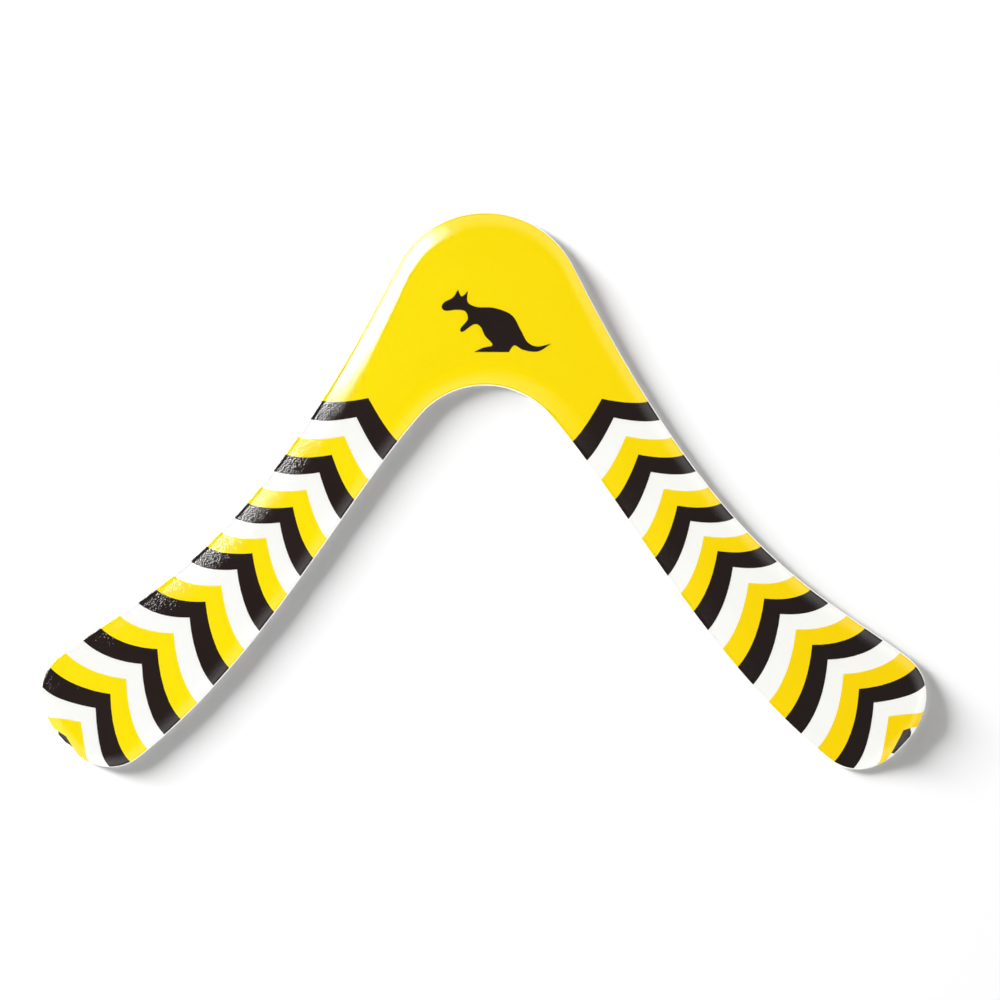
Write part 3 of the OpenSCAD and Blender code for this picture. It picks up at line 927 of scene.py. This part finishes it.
@dataclass
class PrintedBands:
    """The printed pattern: the yellow elbow, and sets of black, white and yellow bands down each arm.

    The bands' corners lie on the corner line, which runs skew to the ridge, and their edges sweep back
    from it. A sweep grows from sweep_in_root to sweep_in on the inner side and is bowed by a power that
    grows from bow_root to bow_tip. The pattern starts at the elbow, slips a little along the two arms,
    and ends mark_l before each tip, where a last black mark covers what is left.
    """

    blade: Blade
    columns: Columns
    coat_t: float = 0.15
    print_t: float = 0.10
    gap: float = 0.5
    gap_left: float = 0.2
    sweep_out: float = 11.0
    sweep_in: float = 14.5
    sweep_in_root: float = 8.3
    sweep_fade: float = 1.5
    sweep_most: float = 0.85
    bow_root: float = 1.35
    bow_tip: float = 1.95
    mark_l: float = 3.3
    skew: float = 1.4
    slip: float = 1.0
    sets: Tuple[float, ...] = (28.0, 27.0, 25.5, 28.0, 28.0, 27.0, 25.5)
    rows: int = 10
    elbow_rows: int = 120
    passes: int = 12
    # The third colour of each ink is painted shade towards the right arm.
    yellow: LacqueredPaint = LacqueredPaint(
        "yellow_screen_ink_under_lacquer", "#FFE60A", "#FDE206", "#FAD60A", "#D9BC2A", 0.30)
    black: LacqueredPaint = LacqueredPaint(
        "black_screen_ink_under_lacquer", "#261D1A", "#2B2220", "#241D1B", "#4A4440", 0.26)

    def band_share(self, edge: int) -> float:
        """How far along the pattern an edge's corner lies; each set is three equal bands."""
        sums = np.concatenate([[0.0], np.cumsum(self.sets)])
        return float(np.interp(edge / 3, np.arange(len(sums)), sums) / sums[-1])

    def slide_at(self, s: np.ndarray) -> np.ndarray:
        """How far the corner line lies off the ridge: it grows in step with the distance past the elbow.

        Args:
            s: Stations.

        Returns:
            The distance, less where the half chord is short.
        """
        plan = self.blade.plan
        along = np.clip((np.abs(s) - plan.elbow_l) / (plan.arm_l - plan.elbow_l), 0, 1)
        return self.skew * np.sign(s) * along * np.minimum(1, plan.out_at(s) / (4 * self.skew + 1))

    def gap_at(self, s: np.ndarray, c: np.ndarray) -> np.ndarray:
        """Bare edge outside the print."""
        left = mix(self.gap_left, self.gap, smooth((s + self.blade.swap_l) / self.blade.swap_l))
        return np.where(c > 0, self.gap, left)

    def across(self, s: np.ndarray, c: np.ndarray) -> np.ndarray:
        """How far a column lies from the corner line towards its edge.

        Args:
            s: Stations.
            c: Signed column numbers.

        Returns:
            The share of the way, from 0 to 1.
        """
        plan, slide = self.blade.plan, self.slide_at(s)
        half = np.where(c <= 0, plan.out_at(s) - slide, plan.in_at(s) + slide)
        return 1 - self.blade.edge_dist(s, c, self.columns, self.gap_at(s, c), slide) / half

    def trail(self, edge: int, side: int, c: np.ndarray, t: np.ndarray) -> np.ndarray:
        """Distance along the ridge of a band's edge, which trails its corner by a bowed amount.

        The trail is the sweep times one less a power of what is left of the way to the blade's edge, and
        it dies out before the tip.

        Args:
            edge: The edge's number, from the elbow.
            side: The sign of the arm's stations.
            c: Signed column numbers.
            t: How far each column lies from the corner line towards the blade's edge, from 0 to 1.

        Returns:
            The distance from the middle line.
        """
        plan, along = self.blade.plan, self.band_share(edge)
        sweep = np.where(c < 0, self.sweep_out, mix(self.sweep_in_root, self.sweep_in, along))
        s0 = mix(plan.elbow_l, plan.arm_l - self.mark_l, along) - side * self.slip * along
        most = np.minimum(sweep * (1 - np.exp(self.sweep_fade * (s0 - plan.arm_l) / sweep)),
                          self.sweep_most * (plan.arm_l - self.gap - s0))
        return s0 + most * (1 - (1 - t) ** mix(self.bow_root, self.bow_tip, along))

    def crossing(self, edge: int, side: int, c: np.ndarray) -> np.ndarray:
        """Station where a band's edge crosses each column, closed in on by averaging steps.

        Args:
            edge: The edge's number, from the elbow.
            side: The sign of the arm's stations.
            c: Signed column numbers.

        Returns:
            A station to a column.
        """
        s = self.trail(edge, side, c, np.zeros(c.shape))
        for _ in range(self.passes):
            s = (s + self.trail(edge, side, c, self.across(side * s, c))) / 2
        return side * s

    def sheet(self, name: str, s: np.ndarray, c: np.ndarray, finish: bpy.types.Material, slot: Slot) -> None:
        """Makes one printed sheet: the coated face, the same face one print up, and a strip between.

        Args:
            name: The CAD node that it stands for.
            s: A grid of stations, one column to a column number.
            c: Signed column numbers.
            finish: The ink.
            slot: The record's slot.
        """
        slide = self.slide_at(s)
        d = self.blade.chord_d(s, c, self.columns, self.gap_at(s, c), slide)
        if s[0].mean() > s[-1].mean():
            s, d = s[::-1], d[::-1]
        rows, cols = s.shape
        low, high = (self.blade.lifted(s, d, h).reshape(-1, 3) for h in (self.coat_t,
                                                                        self.coat_t + self.print_t))
        loop = border(rows, cols)
        faces = np.concatenate([grid_faces(rows, cols)[:, ::-1], grid_faces(rows, cols, rows * cols),
                                strip_faces(loop + rows * cols, loop)])
        make_piece(name + "_ink", np.concatenate([low, high]), faces, finish, slot, [name], crease=50.0)

    def build(self) -> None:
        """Makes the elbow's yellow, then the bands of each arm from the elbow to the tip."""
        yellow, black = self.yellow.build(), self.black.build()
        c = self.columns.numbers()
        near, far = (self.crossing(0, side.value, c) for side in Side)
        t = np.linspace(-1, 1, self.elbow_rows + 1)[:, None]
        self.sheet("elbow_yellow", np.where(t < 0, -t * near, t * far), c, yellow, Slot.YELLOW)
        t = np.linspace(0, 1, self.rows + 1)[:, None]
        for side in Side:
            arm = side.name.lower()
            edges = [self.crossing(b, side.value, c) for b in range(3 * len(self.sets) + 1)]
            for i in range(len(self.sets)):
                for kind, b, ink, slot in (("black", 3 * i, black, Slot.BLACK),
                                           ("yellow", 3 * i + 2, yellow, Slot.YELLOW)):
                    self.sheet(f"{arm}_{kind}_band_{i + 1}", mix(edges[b], edges[b + 1], t), c, ink, slot)
            mark = np.abs(c) <= self.columns.crown + self.columns.slope // 6
            end = side.value * (self.blade.plan.arm_l - self.gap)
            self.sheet(f"{arm}_black_band_{len(self.sets) + 1}", mix(edges[-1][mark], end, t), c[mark],
                       black, Slot.BLACK)


@dataclass
class KangarooPrint:
    """A plain sitting kangaroo, printed flat in black on the elbow.

    Its points run round the animal from the nose, in millimetres at the drawn length; a point given
    twice is a sharp one.
    """

    blade: Blade
    length: float = 44.0
    drawn_l: float = 44.0
    x: float = 4.5
    y: float = 43.7
    coat_t: float = 0.15
    print_t: float = 0.10
    fine: int = 12
    points: Tuple[Tuple[float, float], ...] = (
        (-22, 5.4), (-21, 7.4), (-17.5, 9.4), (-15.5, 12.5), (-15.5, 12.5), (-14, 9.8), (-11.5, 12),
        (-11.5, 12), (-11.6, 7.6), (-8, 5.6), (-1, 5.2), (6, 2.4), (9.6, -3.4), (12.4, -8.4), (16.4, -10.2),
        (22, -9), (22, -9), (16.6, -12.2), (10.8, -11.6), (7.2, -9.8), (5, -12.5), (5, -12.5), (-9, -12.5),
        (-9, -12.5), (-5.4, -10.8), (-1.6, -9.6), (-4.6, -6), (-6.4, -2.4), (-9, -1.4), (-13.6, -4.4),
        (-14.4, -3), (-11.6, 0.6), (-12.6, 3.8), (-16, 4.4), (-20.4, 4))

    def outline(self) -> np.ndarray:
        """The closed curve through the points: on each span, a cubic whose slopes follow its neighbours.

        Returns:
            The curve's points at the print's own length.
        """
        p, q = np.roll(self.points, 1, axis=0), np.asarray(self.points, float)
        r, s = np.roll(q, -1, axis=0), np.roll(q, -2, axis=0)
        open_span = np.any(q != r, axis=1)
        p, q, r, s = (v[open_span][:, None] for v in (p, q, r, s))
        t = (np.arange(self.fine) / self.fine)[None, :, None]
        curve = (q + t / 2 * (r - p) + t**2 / 2 * (2 * p - 5 * q + 4 * r - s)
                 + t**3 / 2 * (3 * q - p - 3 * r + s))
        return curve.reshape(-1, 2) * self.length / self.drawn_l

    def build(self) -> None:
        """Carries the outline straight up through one print, with a flat cap at each end."""
        flat = self.outline()[::-1] + [self.x, -self.y - self.blade.plan.middle_y]
        n = len(flat)
        z = self.blade.wood_t + self.coat_t + self.print_t
        points = np.concatenate([np.column_stack([flat, np.full(n, h)]) for h in (z, z + self.print_t)])
        i = np.arange(n)
        wall = np.stack([i + n, i, np.roll(i, -1), np.roll(i, -1) + n], axis=1)
        faces = wall.tolist() + [(i + n).tolist(), i[::-1].tolist()]
        make_piece("kangaroo_ink", points, faces, bpy.data.materials["black_screen_ink_under_lacquer"],
                   Slot.BLACK, ["kangaroo_print"])


# ---- studio -------------------------------------------------------------------------------------------


class Reach(Enum):
    """What a soft light shines on."""

    OBJECT = "object"
    FLOOR = "floor"
    GLOSS = "gloss"


@dataclass(frozen=True)
class SoftLight:
    """A rectangular soft light that faces the object.

    Azimuth is degrees from +Y towards -X, zenith is degrees from straight up, and each half is the angle
    that the light spans from its middle to a side, seen from the object. The distance is in metres.
    """

    name: str
    reach: Reach
    azimuth: float
    zenith: float
    half_wide: float
    half_high: float
    share: float
    distance: float = 2.5

    def build(self) -> bpy.types.Object:
        """Makes the light, with the power that gives a level white surface the light's share of full white.

        Returns:
            The light's object.
        """
        a, z = math.radians(self.azimuth), math.radians(self.zenith)
        way = np.array([-math.sin(a) * math.sin(z), math.cos(a) * math.sin(z), math.cos(z)])
        data = bpy.data.lights.new(self.name, "AREA")
        data.shape = "RECTANGLE"
        data.size = 2 * self.distance * math.tan(math.radians(self.half_wide))
        data.size_y = 2 * self.distance * math.tan(math.radians(self.half_high))
        data.energy = self.share * (math.pi * self.distance) ** 2 / math.cos(z)
        light = bpy.data.objects.new(self.name, data)
        light.location = way * self.distance
        light.rotation_euler = (z, 0.0, math.pi + a)
        light.visible_camera = False
        light.visible_glossy = self.reach is Reach.GLOSS
        light.visible_diffuse = self.reach is not Reach.GLOSS
        bpy.context.scene.collection.objects.link(light)
        return light


@dataclass
class Studio:
    """A pale floor, soft light mostly from the upper left, a pale surround and a camera straight above.

    The aim, the width in view and the camera's distance are in millimetres, and the floor lies a hair
    under the object. The surround is at its brightest below low_zenith and darkest above top_zenith.
    """

    aim_x: float = 6.1
    aim_y: float = -3.9
    aim_z: float = 3.0
    roll: float = 0.003
    view_w: float = 401.35
    distance: float = 2600.0
    floor_z: float = -0.02
    floor_r: float = 14.0
    sky_low: float = 1.5
    sky_top: float = 0.04
    low_zenith: float = 75.0
    top_zenith: float = 45.0
    lights: Tuple[SoftLight, ...] = (
        SoftLight("overhead", Reach.OBJECT, 75.0, 20.0, 20.0, 20.0, 0.52, 1.8),
        SoftLight("filler", Reach.OBJECT, -120.0, 45.0, 20.0, 20.0, 0.22, 2.5),
        SoftLight("low_side", Reach.FLOOR, 63.0, 74.5, 9.0, 8.0, 0.74, 4.0),
        SoftLight("highlight", Reach.GLOSS, 52.0, 67.5, 17.0, 14.5, 1.3, 2.5),
    )

    def build(self) -> None:
        """Makes the floor, the lights, the surround and the camera."""
        floor = self._floor()
        groups = {Reach.FLOOR: bpy.data.collections.new("floor_lit"),
                  Reach.OBJECT: bpy.data.collections.new("object_lit")}
        groups[Reach.FLOOR].objects.link(floor)
        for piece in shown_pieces():
            groups[Reach.OBJECT].objects.link(piece)
        for light in self.lights:
            made = light.build()
            if light.reach in groups:
                made.light_linking.receiver_collection = groups[light.reach]
        self._surround()
        self._camera()

    def _floor(self) -> bpy.types.Object:
        """A flat round floor: rings of points at radii in metres that grow by an equal factor.

        Returns:
            The floor's object.
        """
        rings, spokes, first_r = 12, 64, 0.2
        radii = np.geomspace(first_r, self.floor_r, rings)
        turn = np.linspace(0, 2 * math.pi, spokes, endpoint=False)
        flat = (radii[:, None, None] * np.stack([np.cos(turn), np.sin(turn)], -1)).reshape(-1, 2)
        points = np.column_stack([flat, np.full(len(flat), self.floor_z * MM)])
        ring = np.arange(rings - 1)[:, None] * spokes
        a, b = (ring + np.arange(spokes)).ravel(), (ring + np.roll(np.arange(spokes), -1)).ravel()
        faces = [list(range(spokes))] + np.stack([a, a + spokes, b + spokes, b], 1).tolist()
        mesh = bpy.data.meshes.new("floor")
        mesh.from_pydata(points.tolist(), [], faces)
        mesh.update()
        floor = bpy.data.objects.new("floor", mesh)
        bpy.context.scene.collection.objects.link(floor)
        material, tree, place = new_material("matte_white_board")
        tooth = add_node(tree, "ShaderNodeTexNoise", {"Scale": per_metre(0.8), "Detail": 3.0},
                         {"Vector": place})
        tone = add_node(tree, "ShaderNodeMix", {6: linear("#FFFFFF"), 7: linear("#FCFCFC")},
                        {0: tooth.outputs["Fac"]}, data_type="RGBA")
        shader = add_node(tree, "ShaderNodeBsdfPrincipled", {"Roughness": 0.9, "Specular IOR Level": 0.1},
                          {"Base Color": tone.outputs[2]})
        add_node(tree, "ShaderNodeOutputMaterial", feeds={0: shader.outputs[0]})
        mesh.materials.append(material)
        floor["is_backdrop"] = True
        return floor

    def _surround(self) -> None:
        """A pale surround that is bright round the horizon and dark straight above."""
        world = bpy.data.worlds.new("surround")
        world.use_nodes = True
        tree, back = world.node_tree, world.node_tree.nodes["Background"]
        back.inputs["Color"].default_value = linear("#FFFFFF")
        place = add_node(tree, "ShaderNodeTexCoord").outputs["Generated"]
        up = add_node(tree, "ShaderNodeSeparateXYZ", feeds={0: place}).outputs["Z"]
        sky = add_node(tree, "ShaderNodeMapRange",
                       {"From Min": math.cos(math.radians(self.low_zenith)),
                        "From Max": math.cos(math.radians(self.top_zenith)),
                        "To Min": self.sky_low, "To Max": self.sky_top}, {"Value": up})
        tree.links.new(sky.outputs[0], back.inputs["Strength"])
        bpy.context.scene.world = world

    def _camera(self) -> None:
        """A long lens straight above, wide enough for the object and its margin."""
        data = bpy.data.cameras.new("camera")
        data.sensor_width = 36.0
        data.lens = data.sensor_width * (self.distance - self.aim_z) / self.view_w
        data.clip_end = 100.0
        camera = bpy.data.objects.new("camera", data)
        camera.location = (self.aim_x * MM, self.aim_y * MM, self.distance * MM)
        camera.rotation_euler = (0.0, 0.0, self.roll)
        bpy.context.scene.collection.objects.link(camera)
        bpy.context.scene.camera = camera
        bpy.context.scene.view_settings.view_transform = "Standard"


def main() -> None:
    """Builds the object's pieces from the core outwards, then the studio."""
    logging.basicConfig(level=logging.INFO, format="%(message)s")
    plan = Planform()
    blade = Blade(plan)
    half = plan.spread(150, 56)
    stations = np.concatenate([-half[:0:-1], half])
    core = Core(blade, stations)
    core.build()
    core.dress()
    BaseCoat(blade, stations, Columns(bend=7, slope=14, crown=5)).build()
    PrintedBands(blade, Columns()).build()
    KangarooPrint(blade).build()
    Studio().build()


if __name__ == "__main__":
    main()
